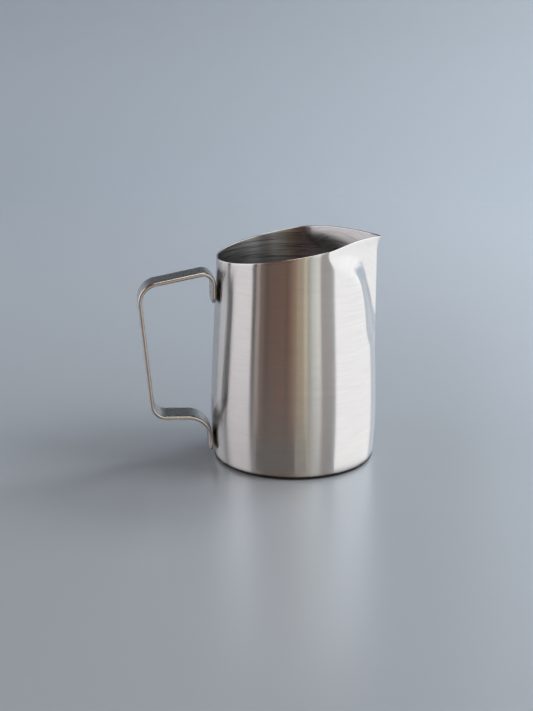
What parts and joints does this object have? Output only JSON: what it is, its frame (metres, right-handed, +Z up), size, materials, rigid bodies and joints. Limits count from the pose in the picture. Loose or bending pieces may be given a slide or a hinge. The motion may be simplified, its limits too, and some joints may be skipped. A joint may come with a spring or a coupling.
{
  "type": "milk frothing pitcher",
  "caption": "Slender brushed stainless steel milk frothing jug with a slanted rim, pinched pouring spout and spot-welded strap handle.",
  "frame": {"origin": "middle of the flat base, on the jug's axis", "axes": "+Z up along the jug's axis, +X towards the spout, the handle along -X, left-right mirror plane Y = 0"},
  "size_m": [0.1196, 0.082, 0.1111],
  "materials": {
    "jug_steel": "fine brushing round the jug, polished rim",
    "handle_steel": "satin tumbled strap with bright rounded edges",
    "weld_steel": "dull fused steel"
  },
  "bodies": {
    "root": {"jug_body": "jug_steel", "handle": "handle_steel", "upper_left_spot_weld": "weld_steel", "upper_right_spot_weld": "weld_steel", "lower_left_spot_weld": "weld_steel", "lower_right_spot_weld": "weld_steel"}
  },
  "joints": []
}
